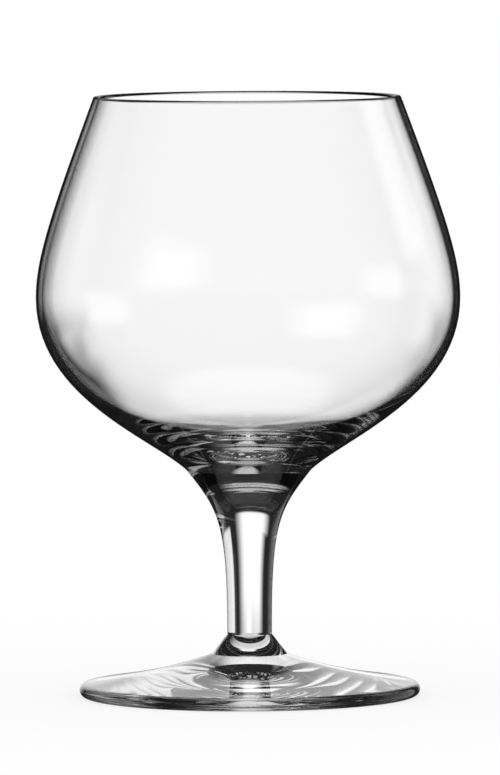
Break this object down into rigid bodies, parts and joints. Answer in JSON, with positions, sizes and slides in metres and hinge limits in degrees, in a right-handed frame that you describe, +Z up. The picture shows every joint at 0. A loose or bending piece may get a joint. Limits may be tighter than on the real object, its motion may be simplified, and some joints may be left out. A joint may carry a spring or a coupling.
{
  "type": "brandy snifter",
  "caption": "Clear stemmed snifter: a wide, thin-walled bowl closing to a narrower mouth, on a short flared stem and a round foot.",
  "frame": {"origin": "centre of the foot's resting ring, on the table", "axes": "+Z up along the glass's axis, from the foot to the mouth; the glass is round, so X and Y are free"},
  "size_m": [0.09, 0.09, 0.1275],
  "materials": {
    "bowl_glass": "clear, fire polished",
    "stem_glass": "clear, fire polished",
    "foot_glass": "clear, fire polished"
  },
  "bodies": {
    "root": {"bowl": "bowl_glass", "stem": "stem_glass", "foot": "foot_glass"}
  },
  "joints": []
}
